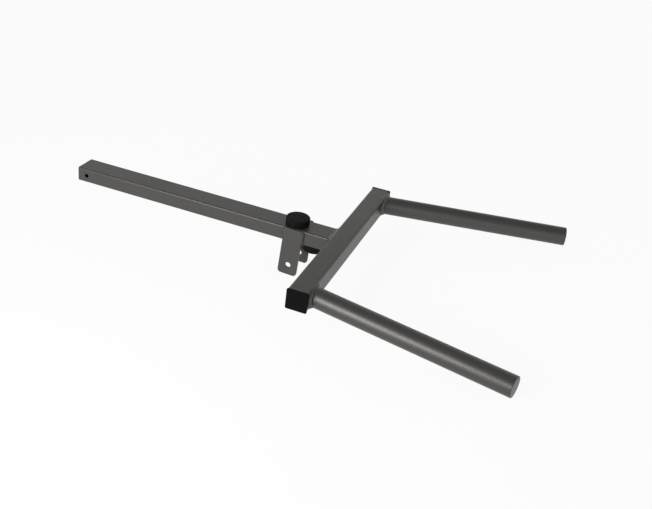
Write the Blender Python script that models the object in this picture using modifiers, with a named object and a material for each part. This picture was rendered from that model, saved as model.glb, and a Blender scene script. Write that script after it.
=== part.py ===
"""Press arm for a strength training bench: a steel lever arm with a pair of
pivot ears, two rubber stops, and a crossbar that carries two splayed hand bars.

Metres, +Z up. +X runs along the arm towards the hand bars, and +Y is the left
side of someone who looks that way. The world's origin is the middle of the
whole object's box, at its lowest level, which is the foot of the ears.
"""

import math

import bmesh
import bpy
from mathutils import Matrix, Vector

# Gap kept between touching pieces, and the broken edge of cut plate
GAP = 0.0003
PLATE_EDGE = 0.0004

# Lever arm: rectangular tube
ARM_WIDTH = 0.050
ARM_HEIGHT = 0.030
ARM_LENGTH = 0.566
ARM_WALL = 0.002
ARM_CORNER = 0.003
TAIL_PLATE = 0.003
TAIL_HOLE = 0.009
TAIL_HOLE_INSET = 0.020

# Crossbar: square tube, measured over its end plugs
BAR_SIZE = 0.040
BAR_LENGTH = 0.480
BAR_WALL = 0.002
BAR_CORNER = 0.005
PLUG_SIZE = 0.041
PLUG_CORNER = 0.003
PLUG_FLANGE = 0.004
PLUG_EDGE = 0.0012
PLUG_DEPTH = 0.020
PLUG_WALL = 0.002
PLUG_RIBS = 3
PLUG_RIB_HEIGHT = 0.0012
PLUG_RIB_THICKNESS = 0.0014

# Hand bars: round tube, closed by a welded disc
GRIP_DIAMETER = 0.038
GRIP_WALL = 0.002
GRIP_LENGTH = 0.385
GRIP_DISC = 0.003
GRIP_DISC_EDGE = 0.0008
GRIP_SPLAY = math.radians(12)
GRIP_ROOT_Y = 0.208

# Pivot ears: flat bar with rounded lower corners, leaning back and spread a little
EAR_WIDTH = 0.040
EAR_LENGTH = 0.1005
EAR_THICKNESS = 0.004
EAR_LOWER_CORNER = 0.007
EAR_UPPER_CORNER = 0.002
EAR_HOLE = 0.0115
EAR_HOLE_RISE = 0.021
EAR_X = -0.0948
EAR_TOP_Z = 0.0148
EAR_LEAN = math.radians(2.4)
EAR_SPREAD = math.radians(1.8)

# Rubber stops, each bonded to a steel plate with a threaded stud
STOP_DIAMETER = 0.048
STOP_HEIGHT = 0.015
STOP_EDGE = 0.0022
STOP_PLATE_DIAMETER = 0.030
STOP_PLATE = 0.002
STOP_TOP_X = -0.098
STOP_BOTTOM_X = -0.058
STUD_DIAMETER = 0.0078
STUD_LENGTH = 0.016
STUD_CHAMFER = 0.0007
NUT_BORE = 0.0086
NUT_OUTSIDE = 0.011
NUT_BULGE = 0.0150
NUT_BULGE_HEIGHT = 0.0028
NUT_LENGTH = 0.0125

# Weld beads. They thin where the tube nearly covers the crossbar's height
ARM_BEAD = 0.0060
ARM_BEAD_THIN = 0.0045
EAR_BEAD = 0.0034
GRIP_BEAD = 0.0064
GRIP_BEAD_THIN = 0.0022
EAR_BEAD_INSET = 0.0020

# How finely round shapes are divided
TUBE_SIDES = 48
SMALL_SIDES = 32
CORNER_STEPS = 4
MERGE_DISTANCE = 0.00001
SMOOTH_ANGLE = math.radians(40)

# How far a cutter runs past what it cuts
CUTTER_REACH = 0.02

# Turns an outline so that it is pushed out along X or along Y, and turns a piece over
ALONG_X = (math.pi / 2, 0, math.pi / 2)
ALONG_Y = (math.pi / 2, 0, 0)
UPSIDE_DOWN = (math.pi, 0, 0)

# Places that follow from the sizes, measured from the crossbar's middle
BAR_FACE = BAR_SIZE / 2
TAIL_X = -BAR_FACE - ARM_LENGTH
ARM_TOP = ARM_HEIGHT / 2
ARM_SIDE = ARM_WIDTH / 2
EAR_DROP = (
    EAR_LOWER_CORNER
    + (EAR_LENGTH - EAR_LOWER_CORNER) * math.cos(EAR_LEAN)
    + (EAR_WIDTH / 2 - EAR_LOWER_CORNER) * math.sin(EAR_LEAN)
)
EAR_FOOT_Z = EAR_TOP_Z - EAR_DROP * math.cos(EAR_SPREAD)
GRIP_TIP_X = BAR_FACE + GRIP_LENGTH * math.cos(GRIP_SPLAY)
OUTER_X = GRIP_TIP_X + (GRIP_DIAMETER / 2) * math.sin(GRIP_SPLAY)
CENTRE_X = (TAIL_X + OUTER_X) / 2

SIDES = (("right", -1), ("left", 1))
STOPS = (("top", STOP_TOP_X, 1), ("bottom", STOP_BOTTOM_X, -1))


def clear_scene():
    for old in list(bpy.data.objects):
        bpy.data.objects.remove(old, do_unlink=True)


def make_collection(name):
    collection = bpy.data.collections.new(name)
    bpy.context.scene.collection.children.link(collection)
    return collection


def make_material(name, colour, roughness, metallic):
    material = bpy.data.materials.new(name)
    material.use_nodes = True
    shader = material.node_tree.nodes["Principled BSDF"]
    shader.inputs["Base Color"].default_value = (*colour, 1)
    shader.inputs["Roughness"].default_value = roughness
    shader.inputs["Metallic"].default_value = metallic
    return material


clear_scene()
PARTS = make_collection("press_arm")
CUTTERS = make_collection("press_arm_cutters")
FRAME = bpy.data.objects.new("frame_origin", None)
FRAME.location = (-CENTRE_X, 0, -EAR_FOOT_Z)
PARTS.objects.link(FRAME)

POWDER_COAT = make_material("graphite_powder_coat", (0.090, 0.088, 0.083), 0.42, 0.55)
WELD_COAT = make_material("coated_weld", (0.085, 0.083, 0.078), 0.45, 0.55)
PLUG_PLASTIC = make_material("black_plug_plastic", (0.010, 0.010, 0.011), 0.48, 0.0)
STOP_RUBBER = make_material("black_stop_rubber", (0.012, 0.012, 0.012), 0.75, 0.0)
ZINC = make_material("zinc_plated_steel", (0.55, 0.56, 0.58), 0.32, 1.0)


def move_to(piece, collection):
    for other in list(piece.users_collection):
        other.objects.unlink(piece)
    collection.objects.link(piece)


def place(piece, location, rotation=(0, 0, 0)):
    """Put a piece among the parts, at its place in the object's own frame."""
    move_to(piece, PARTS)
    piece.parent = FRAME
    piece.location = location
    piece.rotation_euler = rotation
    bpy.context.view_layer.update()
    return piece


def finish_piece(piece, material):
    piece.data.materials.clear()
    piece.data.materials.append(material)
    piece.data.shade_smooth()
    piece.data.set_sharp_from_angle(angle=SMOOTH_ANGLE)


def curve_to_mesh(curve_object):
    """Swap a curve object for the closed mesh that it draws."""
    depsgraph = bpy.context.evaluated_depsgraph_get()
    mesh = bpy.data.meshes.new_from_object(curve_object.evaluated_get(depsgraph))
    cleaner = bmesh.new()
    cleaner.from_mesh(mesh)
    bmesh.ops.remove_doubles(cleaner, verts=cleaner.verts, dist=MERGE_DISTANCE)
    cleaner.to_mesh(mesh)
    cleaner.free()
    name = curve_object.name
    matrix = curve_object.matrix_world.copy()
    bpy.data.objects.remove(curve_object, do_unlink=True)
    piece = bpy.data.objects.new(name, mesh)
    PARTS.objects.link(piece)
    piece.parent = FRAME
    piece.matrix_world = matrix
    return piece


def rounded_outline(corners, radii):
    """A closed outline through the corners, each rounded by its own radius."""
    points = []
    for index, corner in enumerate(corners):
        before = (Vector(corners[index - 1]) - Vector(corner)).normalized()
        after = (Vector(corners[(index + 1) % len(corners)]) - Vector(corner)).normalized()
        half = before.angle(after) / 2
        reach = radii[index] / math.sin(half)
        centre = Vector(corner) + (before + after).normalized() * reach
        start = Vector(corner) + before * (radii[index] / math.tan(half)) - centre
        turn = math.pi - 2 * half
        for step in range(CORNER_STEPS + 1):
            angle = turn * step / CORNER_STEPS
            points.append(centre + Matrix.Rotation(angle, 2) @ start)
    return points


def box_outline(width, height, corner):
    x, y = width / 2, height / 2
    return rounded_outline([(-x, -y), (x, -y), (x, y), (-x, y)], [corner] * 4)


def circle_outline(diameter, centre=(0, 0), sides=TUBE_SIDES):
    start = Vector((diameter / 2, 0))
    turns = [Matrix.Rotation(math.tau * step / sides, 2) for step in range(sides)]
    return [Vector(centre) + turn @ start for turn in turns]


def extruded(name, outlines, length, location, rotation, edge=0.0, edge_steps=1):
    """A flat outline with its holes, pushed out to a solid of the given length."""
    curve = bpy.data.curves.new(name, "CURVE")
    curve.dimensions = "2D"
    curve.fill_mode = "BOTH"
    curve.extrude = length / 2 - edge
    curve.bevel_depth = edge
    curve.bevel_resolution = edge_steps
    curve.offset = -edge
    for outline in outlines:
        spline = curve.splines.new("POLY")
        spline.points.add(len(outline) - 1)
        for point, (x, y) in zip(spline.points, outline):
            point.co = (x, y, 0, 1)
        spline.use_cyclic_u = True
    piece = bpy.data.objects.new(name, curve)
    place(piece, location, rotation)
    return curve_to_mesh(piece)


def turned(name, profile, location, rotation=(0, 0, 0), sides=TUBE_SIDES):
    """A turned solid. The profile runs down its outer side, as (radius, height)."""
    mesh = bpy.data.meshes.new(name)
    points = [(radius, 0, height) for radius, height in profile]
    mesh.from_pydata(points, [(index, index + 1) for index in range(len(profile) - 1)], [])
    piece = bpy.data.objects.new(name, mesh)
    place(piece, location, rotation)
    screw = piece.modifiers.new("turn", "SCREW")
    screw.steps = sides
    screw.render_steps = sides
    screw.use_merge_vertices = True
    screw.merge_threshold = MERGE_DISTANCE
    return piece


def swept_round(name, points, radii, cyclic):
    """A round rod along the points, with a radius at each, and filled ends if open."""
    curve = bpy.data.curves.new(name, "CURVE")
    curve.dimensions = "3D"
    curve.bevel_depth = 1  # metres, scaled down by each point's radius
    curve.bevel_resolution = 2
    curve.use_fill_caps = True
    spline = curve.splines.new("POLY")
    spline.points.add(len(points) - 1)
    for point, where, radius in zip(spline.points, points, radii):
        point.co = (*where, 1)
        point.radius = radius
    spline.use_cyclic_u = cyclic
    piece = bpy.data.objects.new(name, curve)
    place(piece, (0, 0, 0))
    return curve_to_mesh(piece)


def boolean(piece, cutter, operation="DIFFERENCE"):
    modifier = piece.modifiers.new(cutter.name, "BOOLEAN")
    modifier.operation = operation
    modifier.solver = "EXACT"
    modifier.object = cutter


def as_cutter(piece):
    move_to(piece, CUTTERS)
    piece.hide_render = True
    piece.display_type = "WIRE"
    return piece


def round_cutter(name, diameter, length, location, rotation=(0, 0, 0)):
    bpy.ops.mesh.primitive_cylinder_add(vertices=SMALL_SIDES, radius=diameter / 2, depth=length)
    piece = bpy.context.active_object
    piece.name = name
    return as_cutter(place(piece, location, rotation))


def box_cutter(name, size, location):
    bpy.ops.mesh.primitive_cube_add(size=1)
    piece = bpy.context.active_object
    piece.name = name
    piece.data.transform(Matrix.Diagonal((*size, 1)))
    return as_cutter(place(piece, location))


def build_arm():
    """The rectangular lever tube, drilled at its tail and for both stops."""
    length = ARM_LENGTH - TAIL_PLATE - 2 * GAP
    middle_x = -BAR_FACE - GAP - length / 2
    outlines = [
        box_outline(ARM_WIDTH, ARM_HEIGHT, ARM_CORNER),
        box_outline(ARM_WIDTH - 2 * ARM_WALL, ARM_HEIGHT - 2 * ARM_WALL, ARM_CORNER - ARM_WALL),
    ]
    arm = extruded("main_arm", outlines, length, (middle_x, 0, 0), ALONG_X)
    hole_x = TAIL_X + TAIL_HOLE_INSET
    hole_length = ARM_WIDTH + 2 * CUTTER_REACH
    boolean(arm, round_cutter("tail_hole_cutter", TAIL_HOLE, hole_length, (hole_x, 0, 0), ALONG_Y))
    for name, x, side in STOPS:
        where = (x, 0, side * ARM_TOP)
        cutter = round_cutter(f"{name}_nut_cutter", NUT_OUTSIDE + 2 * GAP, 4 * ARM_WALL, where)
        boolean(arm, cutter)
    finish_piece(arm, POWDER_COAT)

    plate_x = TAIL_X + TAIL_PLATE / 2
    plate = extruded(
        "tail_plate", [box_outline(ARM_WIDTH, ARM_HEIGHT, ARM_CORNER)], TAIL_PLATE,
        (plate_x, 0, 0), ALONG_X, edge=PLATE_EDGE,
    )
    finish_piece(plate, POWDER_COAT)


def build_crossbar():
    """The square tube, with a ribbed plug pressed into each end."""
    length = BAR_LENGTH - 2 * (PLUG_FLANGE + GAP)
    inside = BAR_SIZE - 2 * BAR_WALL
    outlines = [
        box_outline(BAR_SIZE, BAR_SIZE, BAR_CORNER),
        box_outline(inside, inside, BAR_CORNER - BAR_WALL),
    ]
    bar = extruded("crossbar", outlines, length, (0, 0, 0), ALONG_Y)
    finish_piece(bar, POWDER_COAT)
    for side_name, side in SIDES:
        build_plug(f"crossbar_plug_{side_name}", side, inside)


def build_plug(name, side, inside):
    """A flange over the tube's end, with a hollow skirt whose ribs grip inside."""
    rib_size = inside - 2 * GAP
    skirt_size = rib_size - 2 * PLUG_RIB_HEIGHT
    bore_size = skirt_size - 2 * PLUG_WALL
    corner = BAR_CORNER - BAR_WALL
    flange_back = BAR_LENGTH / 2 - PLUG_FLANGE
    plug = extruded(
        name, [box_outline(PLUG_SIZE, PLUG_SIZE, PLUG_CORNER)], PLUG_FLANGE,
        (0, side * (flange_back + PLUG_FLANGE / 2), 0), ALONG_Y, edge=PLUG_EDGE,
    )
    root = PLUG_FLANGE / 4
    pitch = PLUG_DEPTH / (PLUG_RIBS + 0.5)
    shapes = [("skirt", skirt_size, PLUG_DEPTH + root, (root - PLUG_DEPTH) / 2, "UNION")]
    for index in range(PLUG_RIBS):
        depth = -pitch * (index + 1)
        shapes.append((f"rib_{index + 1}", rib_size, PLUG_RIB_THICKNESS, depth, "UNION"))
    shapes.append(("bore", bore_size, 2 * PLUG_DEPTH, -PLUG_DEPTH, "DIFFERENCE"))
    for shape_name, size, length, depth, operation in shapes:
        shape = extruded(
            f"{name}_{shape_name}", [box_outline(size, size, corner)], length,
            (0, side * (flange_back + depth), 0), ALONG_Y,
        )
        boolean(plug, as_cutter(shape), operation)
    finish_piece(plug, PLUG_PLASTIC)


def grip_frame(side):
    """A hand bar's root on the crossbar's face, its turn about Z and its direction."""
    turn = side * GRIP_SPLAY
    along = Vector((math.cos(turn), math.sin(turn), 0))
    return Vector((BAR_FACE, side * GRIP_ROOT_Y, 0)), turn, along


def build_grips():
    """Two splayed round tubes, mitred to the crossbar and closed by discs."""
    reach = GRIP_DIAMETER + 2 * CUTTER_REACH
    face_cutter = box_cutter(
        "crossbar_face_cutter", (reach, 2 * BAR_LENGTH, reach), (BAR_FACE + GAP - reach / 2, 0, 0)
    )
    for side_name, side in SIDES:
        root, turn, along = grip_frame(side)
        run_in = GRIP_DIAMETER / 2
        length = GRIP_LENGTH - GRIP_DISC - GAP + run_in
        middle = root + along * (length / 2 - run_in)
        rotation = (math.pi / 2, 0, math.pi / 2 + turn)
        outlines = [circle_outline(GRIP_DIAMETER), circle_outline(GRIP_DIAMETER - 2 * GRIP_WALL)]
        tube = extruded(f"grip_tube_{side_name}", outlines, length, middle, rotation)
        boolean(tube, face_cutter)
        finish_piece(tube, POWDER_COAT)

        disc_middle = root + along * (GRIP_LENGTH - GRIP_DISC / 2)
        disc = extruded(
            f"grip_disc_{side_name}", [circle_outline(GRIP_DIAMETER)], GRIP_DISC,
            disc_middle, rotation, edge=GRIP_DISC_EDGE,
        )
        finish_piece(disc, POWDER_COAT)


def ear_point(across, down):
    """A place on an ear's face: across it towards +X, and down it from its top."""
    x = EAR_X + across * math.cos(EAR_LEAN) - down * math.sin(EAR_LEAN)
    z = EAR_TOP_Z - across * math.sin(EAR_LEAN) - down * math.cos(EAR_LEAN)
    return x, z


def build_ears():
    """A pair of drilled flat bars on the arm's sides, reaching below it."""
    half = EAR_WIDTH / 2
    corners = [
        ear_point(-half, EAR_LENGTH), ear_point(half, EAR_LENGTH),
        ear_point(half, 0), ear_point(-half, 0),
    ]
    radii = [EAR_LOWER_CORNER, EAR_LOWER_CORNER, EAR_UPPER_CORNER, EAR_UPPER_CORNER]
    outline = rounded_outline(corners, radii)
    hole = circle_outline(EAR_HOLE, ear_point(0, EAR_LENGTH - EAR_HOLE_RISE), SMALL_SIDES)
    for side_name, side in SIDES:
        hinge = Vector((0, side * (ARM_SIDE + GAP), EAR_TOP_Z))
        spread = Matrix.Rotation(side * EAR_SPREAD, 3, "X")
        centre = hinge + spread @ Vector((0, side * EAR_THICKNESS / 2, -EAR_TOP_Z))
        ear = extruded(
            f"pivot_ear_{side_name}", [outline, hole], EAR_THICKNESS, centre,
            (ALONG_Y[0] + side * EAR_SPREAD, 0, 0), edge=PLATE_EDGE,
        )
        finish_piece(ear, POWDER_COAT)


def build_stops():
    """Each rubber stop, its bonded plate with the stud, and the rivet nut."""
    plate_r = STOP_PLATE_DIAMETER / 2
    stud_r = STUD_DIAMETER / 2
    for name, x, side in STOPS:
        seat = (x, 0, side * ARM_TOP)
        rotation = (0, 0, 0) if side > 0 else UPSIDE_DOWN
        stop_profile = [(0, STOP_HEIGHT)]
        for step in range(CORNER_STEPS + 1):
            angle = math.pi / 2 * (1 - step / CORNER_STEPS)
            stop_profile.append((
                STOP_DIAMETER / 2 - STOP_EDGE + STOP_EDGE * math.cos(angle),
                STOP_HEIGHT - STOP_EDGE + STOP_EDGE * math.sin(angle),
            ))
        recess = GAP + STOP_PLATE + GAP
        stop_profile += [
            (STOP_DIAMETER / 2, GAP), (plate_r + GAP, GAP), (plate_r + GAP, recess), (0, recess),
        ]
        stop = turned(f"rubber_stop_{name}", stop_profile, seat, rotation)
        finish_piece(stop, STOP_RUBBER)

        plate_profile = [
            (0, GAP + STOP_PLATE), (plate_r, GAP + STOP_PLATE), (plate_r, GAP), (stud_r, GAP),
            (stud_r, STUD_CHAMFER - STUD_LENGTH), (stud_r - STUD_CHAMFER, -STUD_LENGTH),
            (0, -STUD_LENGTH),
        ]
        plate = turned(f"stop_stud_{name}", plate_profile, seat, rotation, SMALL_SIDES)
        finish_piece(plate, ZINC)

        outer_r, bulge_r, bore_r = NUT_OUTSIDE / 2, NUT_BULGE / 2, NUT_BORE / 2
        under = -ARM_WALL - GAP
        nut_profile = [
            (bore_r, 0), (outer_r, 0), (outer_r, under), (bulge_r, under - NUT_BULGE_HEIGHT / 4),
            (bulge_r, under - NUT_BULGE_HEIGHT / 2), (outer_r, under - NUT_BULGE_HEIGHT),
            (outer_r, -NUT_LENGTH), (bore_r, -NUT_LENGTH), (bore_r, 0),
        ]
        nut = turned(f"rivet_nut_{name}", nut_profile, seat, rotation, SMALL_SIDES)
        finish_piece(nut, ZINC)


def cut_bead(bead, cutters):
    for cutter in cutters:
        boolean(bead, cutter)
    finish_piece(bead, WELD_COAT)


def build_beads():
    """The fillet welds, as rounded bodies along each seam cut back to what they join."""
    bar_size = BAR_SIZE + 2 * GAP
    bar_block = as_cutter(extruded(
        "crossbar_block", [box_outline(bar_size, bar_size, BAR_CORNER)], BAR_LENGTH,
        (0, 0, 0), ALONG_Y,
    ))
    arm_block = as_cutter(extruded(
        "arm_block", [box_outline(ARM_WIDTH + 2 * GAP, ARM_HEIGHT + 2 * GAP, ARM_CORNER)],
        ARM_LENGTH, (-BAR_FACE - ARM_LENGTH / 2 + CUTTER_REACH, 0, 0), ALONG_X,
    ))
    collar = box_outline(
        ARM_WIDTH + 2 * ARM_BEAD, ARM_HEIGHT + 2 * ARM_BEAD_THIN, ARM_CORNER + ARM_BEAD_THIN
    )
    arm_bead = extruded(
        "weld_arm_to_crossbar", [collar], 2 * ARM_BEAD, (-BAR_FACE, 0, 0), ALONG_X,
        edge=ARM_BEAD_THIN - GAP, edge_steps=2,
    )
    cut_bead(arm_bead, [bar_block, arm_block])

    for side_name, side in SIDES:
        root, turn, along = grip_frame(side)
        core = round_cutter(
            f"grip_core_{side_name}", GRIP_DIAMETER + 2 * GAP, BAR_SIZE + 2 * CUTTER_REACH,
            root, (0, math.pi / 2, turn),
        )
        radius = GRIP_DIAMETER / 2
        ring, legs = [], []
        for index in range(SMALL_SIDES):
            angle = math.tau * index / SMALL_SIDES
            across = Vector((-along.y, along.x, 0)) * radius * math.cos(angle)
            point = root + across + Vector((0, 0, radius * math.sin(angle)))
            ring.append(point - along * ((point.x - BAR_FACE) / along.x))
            legs.append(GRIP_BEAD + (GRIP_BEAD_THIN - GRIP_BEAD) * math.sin(angle) ** 2)
        cut_bead(swept_round(f"weld_grip_{side_name}", ring, legs, True), [bar_block, core])
        build_ear_beads(side_name, side, arm_block)


def build_ear_beads(side_name, side, arm_block):
    """The upright beads in front of and behind an ear, on the arm's side."""
    half = EAR_WIDTH / 2
    y = side * (ARM_SIDE + GAP)
    outline = [
        ear_point(-half - GAP, EAR_LENGTH), ear_point(half + GAP, EAR_LENGTH),
        ear_point(half + GAP, -CUTTER_REACH), ear_point(-half - GAP, -CUTTER_REACH),
    ]
    ear_block = as_cutter(extruded(
        f"ear_block_{side_name}", [outline], 2 * CUTTER_REACH, (0, y, 0), ALONG_Y
    ))
    for place_name, edge in (("rear", -half), ("front", half)):
        seam = []
        for z in (EAR_TOP_Z - EAR_BEAD_INSET, EAR_BEAD_INSET - ARM_TOP):
            down = (EAR_TOP_Z - z - edge * math.sin(EAR_LEAN)) / math.cos(EAR_LEAN)
            seam.append((ear_point(edge, down)[0], y, z))
        bead = swept_round(f"weld_ear_{side_name}_{place_name}", seam, [EAR_BEAD] * 2, False)
        cut_bead(bead, [arm_block, ear_block])


build_arm()
build_crossbar()
build_grips()
build_ears()
build_stops()
build_beads()
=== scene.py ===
"""The finished look of a lever arm with hand bars, from a strength training bench.

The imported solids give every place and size. The pieces here take their places
with rounded edges, rippled welds, moulded plugs and stops, and painted or
moulded surfaces. The file is laid out as an add-on: sizes and colours are
properties, each group of pieces has its operator, and a panel lists them.
"""

import math

import bmesh
import bpy
from bpy.props import FloatProperty, FloatVectorProperty, IntProperty, PointerProperty
from mathutils import Euler, Matrix, Vector


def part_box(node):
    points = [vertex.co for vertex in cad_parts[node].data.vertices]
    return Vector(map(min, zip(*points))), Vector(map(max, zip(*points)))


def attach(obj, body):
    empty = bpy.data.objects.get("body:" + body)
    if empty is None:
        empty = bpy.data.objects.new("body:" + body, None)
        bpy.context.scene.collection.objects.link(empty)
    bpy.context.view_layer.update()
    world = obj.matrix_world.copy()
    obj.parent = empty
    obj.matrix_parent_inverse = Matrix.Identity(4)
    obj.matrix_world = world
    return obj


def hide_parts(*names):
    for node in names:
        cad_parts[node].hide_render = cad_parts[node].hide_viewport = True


bl_info = {
    "name": "Lever Arm With Hand Bars",
    "version": (1, 0, 0),
    "blender": (4, 5, 0),
    "location": "View3D > Sidebar > Lever Arm",
    "description": "Builds the finished surfaces of a welded lever arm around its solids",
    "category": "Object",
}

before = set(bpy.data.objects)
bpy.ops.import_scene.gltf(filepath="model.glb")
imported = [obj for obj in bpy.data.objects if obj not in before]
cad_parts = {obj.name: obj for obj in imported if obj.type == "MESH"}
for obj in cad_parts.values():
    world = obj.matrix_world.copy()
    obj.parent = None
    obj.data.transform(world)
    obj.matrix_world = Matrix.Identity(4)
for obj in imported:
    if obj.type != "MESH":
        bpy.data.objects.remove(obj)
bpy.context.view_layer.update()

MM = 0.001
SIDES = (("right", -1), ("left", 1))
STOPS = (("top", 1), ("bottom", -1))


def middle(node):
    low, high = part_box(node)
    return (low + high) / 2


def extent(node):
    low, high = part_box(node)
    return high - low


# Gap that touching solids keep, which the finished pieces close
GAP = 0.3 * MM
# Soft edge of a sawn tube end and of the disc that is welded to it
SAWN_EDGE = 0.12 * MM
# Distance between a weld's cross sections, and the size of its slow unevenness
BEAD_STEP = 0.28 * MM
LUMP_SIZE = 5 * MM
# How far a weld is let into the tube or plate that it follows, and into the face beside it
BEAD_INSET = 0.4 * MM
BEAD_SINK = 0.3 * MM

# Sizes and places that the solids give
BAR_MIDDLE = middle("crossbar")
BAR_SIZE = extent("crossbar").z
BAR_LENGTH = extent("crossbar").y + 2 * GAP
BAR_FRONT = BAR_MIDDLE.x + BAR_SIZE / 2
BAR_REAR = BAR_MIDDLE.x - BAR_SIZE / 2
ARM_WIDTH = extent("main_arm").y
ARM_HEIGHT = extent("main_arm").z
PLUG_SIZE = extent("crossbar_plug_right").x
STOP_DIAMETER = extent("rubber_stop_top").x
STOP_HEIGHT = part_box("rubber_stop_top")[1].z - (BAR_MIDDLE.z + ARM_HEIGHT / 2)


class LeverArmSizes(bpy.types.PropertyGroup):
    """Sizes that the solids' boxes don't give."""

    wall: FloatProperty(
        name="Tube wall", description="Wall thickness of all tubes",
        default=0.002, min=0.001, max=0.004, unit="LENGTH",
    )
    arm_corner: FloatProperty(
        name="Arm corner", description="Outer corner radius of the lever tube",
        default=0.003, min=0.0022, max=0.006, unit="LENGTH",
    )
    bar_corner: FloatProperty(
        name="Crossbar corner", description="Outer corner radius of the crossbar",
        default=0.005, min=0.0022, max=0.008, unit="LENGTH",
    )
    plug_corner: FloatProperty(
        name="Plug corner", description="Corner radius of the plug's visible head",
        default=0.003, min=0.0022, max=0.008, unit="LENGTH",
    )
    tail_hole: FloatProperty(
        name="Tail hole", description="Diameter of the cross hole near the tail",
        default=0.009, min=0.004, max=0.014, unit="LENGTH",
    )
    tail_inset: FloatProperty(
        name="Tail hole inset", description="Distance from the tail to that hole's middle",
        default=0.020, min=0.010, max=0.050, unit="LENGTH",
    )
    nut_hole: FloatProperty(
        name="Nut hole", description="Hole in the arm's wall for each rivet nut",
        default=0.0116, min=0.008, max=0.016, unit="LENGTH",
    )
    edge: FloatProperty(
        name="Painted edge", description="Radius that the coating gives to a cut edge",
        default=0.00035, min=0.0001, max=0.001, unit="LENGTH",
    )
    splay: FloatProperty(
        name="Hand bar splay", description="Angle of each hand bar away from straight ahead",
        default=math.radians(12), min=0, max=math.radians(30), unit="ROTATION",
    )
    grip_diameter: FloatProperty(
        name="Hand bar", description="Outer diameter of the hand bars",
        default=0.038, min=0.025, max=0.050, unit="LENGTH",
    )
    grip_root: FloatProperty(
        name="Hand bar root", description="Distance from the middle to each hand bar's root",
        default=0.208, min=0.1, max=0.3, unit="LENGTH",
    )
    grip_length: FloatProperty(
        name="Hand bar length", description="Length along the middle line, over the disc",
        default=0.385, min=0.1, max=0.6, unit="LENGTH",
    )
    disc: FloatProperty(
        name="End disc", description="Thickness of the disc that closes a hand bar",
        default=0.003, min=0.001, max=0.006, unit="LENGTH",
    )
    disc_edge: FloatProperty(
        name="End disc edge", description="Radius of the disc's ground edge",
        default=0.0011, min=0.0002, max=0.002, unit="LENGTH",
    )
    ear_width: FloatProperty(
        name="Ear width", description="Width of the flat bar",
        default=0.040, min=0.02, max=0.06, unit="LENGTH",
    )
    ear_length: FloatProperty(
        name="Ear length", description="Length of the flat bar",
        default=0.1005, min=0.05, max=0.2, unit="LENGTH",
    )
    ear_thickness: FloatProperty(
        name="Ear thickness", description="Thickness of the flat bar",
        default=0.004, min=0.002, max=0.008, unit="LENGTH",
    )
    ear_lean: FloatProperty(
        name="Ear lean", description="How far the ears' feet lean towards the tail",
        default=math.radians(2.4), min=0, max=math.radians(10), unit="ROTATION",
    )
    ear_spread: FloatProperty(
        name="Ear spread", description="How far the ears' feet stand out from the arm",
        default=math.radians(1.8), min=0, max=math.radians(10), unit="ROTATION",
    )
    ear_lower_corner: FloatProperty(
        name="Ear lower corner", description="Radius of an ear's lower corners",
        default=0.007, min=0.001, max=0.02, unit="LENGTH",
    )
    ear_upper_corner: FloatProperty(
        name="Ear upper corner", description="Radius of an ear's upper corners",
        default=0.002, min=0.001, max=0.02, unit="LENGTH",
    )
    ear_hole: FloatProperty(
        name="Ear hole", description="Diameter of the pivot hole",
        default=0.0115, min=0.006, max=0.02, unit="LENGTH",
    )
    ear_hole_rise: FloatProperty(
        name="Ear hole rise", description="Height of the hole's middle over the ear's foot",
        default=0.021, min=0.01, max=0.05, unit="LENGTH",
    )
    plug_flange: FloatProperty(
        name="Plug flange", description="Thickness of the plug's visible head",
        default=0.004, min=0.002, max=0.008, unit="LENGTH",
    )
    plug_crown: FloatProperty(
        name="Plug crown", description="How far the plug's face rises towards its middle",
        default=0.0004, min=0, max=0.002, unit="LENGTH",
    )
    stop_edge: FloatProperty(
        name="Stop edge", description="Radius of a rubber stop's outer edge",
        default=0.0024, min=0.0005, max=0.005, unit="LENGTH",
    )


class LeverArmWelds(bpy.types.PropertyGroup):
    """Sizes of the fillet welds."""

    grip_leg: FloatProperty(
        name="Hand bar weld", description="Leg of the weld at the sides of a hand bar's root",
        default=0.0064, min=0.002, max=0.009, unit="LENGTH",
    )
    grip_run: FloatProperty(
        name="Hand bar weld run", description="How far that weld runs along the hand bar below it",
        default=0.0085, min=0.002, max=0.015, unit="LENGTH",
    )
    arm_leg: FloatProperty(
        name="Arm weld", description="Leg of the weld at the sides of the arm's end",
        default=0.0068, min=0.002, max=0.008, unit="LENGTH",
    )
    arm_leg_thin: FloatProperty(
        name="Arm weld above", description="Leg of that weld above and below the arm",
        default=0.0045, min=0.002, max=0.008, unit="LENGTH",
    )
    ear_leg: FloatProperty(
        name="Ear weld", description="Leg of the upright welds beside the ears",
        default=0.0034, min=0.001, max=0.006, unit="LENGTH",
    )
    pitch: FloatProperty(
        name="Ripple pitch", description="Distance from one weld ripple to the next",
        default=0.0021, min=0.0008, max=0.006, unit="LENGTH",
    )
    height: FloatProperty(
        name="Ripple height", description="Depth of the valleys between ripples",
        default=0.00034, min=0, max=0.001, unit="LENGTH",
    )
    bow: FloatProperty(
        name="Ripple bow", description="How far a ripple trails at its two toes, in pitches",
        default=0.9, min=0, max=3,
    )
    flatness: FloatProperty(
        name="Flatness", description="1 is a quarter circle in section, and 2 is a flat fillet",
        default=1.15, min=1, max=2,
    )
    hollow: FloatProperty(
        name="Hollow", description="The same measure round the arm and below the hand bars, past 2 hollow",
        default=2.6, min=1, max=4,
    )
    lumps: FloatProperty(
        name="Lumps", description="Height of the slow unevenness along a weld",
        default=0.0008, min=0, max=0.002, unit="LENGTH",
    )
    seed: IntProperty(
        name="Seed", description="Choice of the unevenness", default=4, min=0, max=100,
    )


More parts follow.
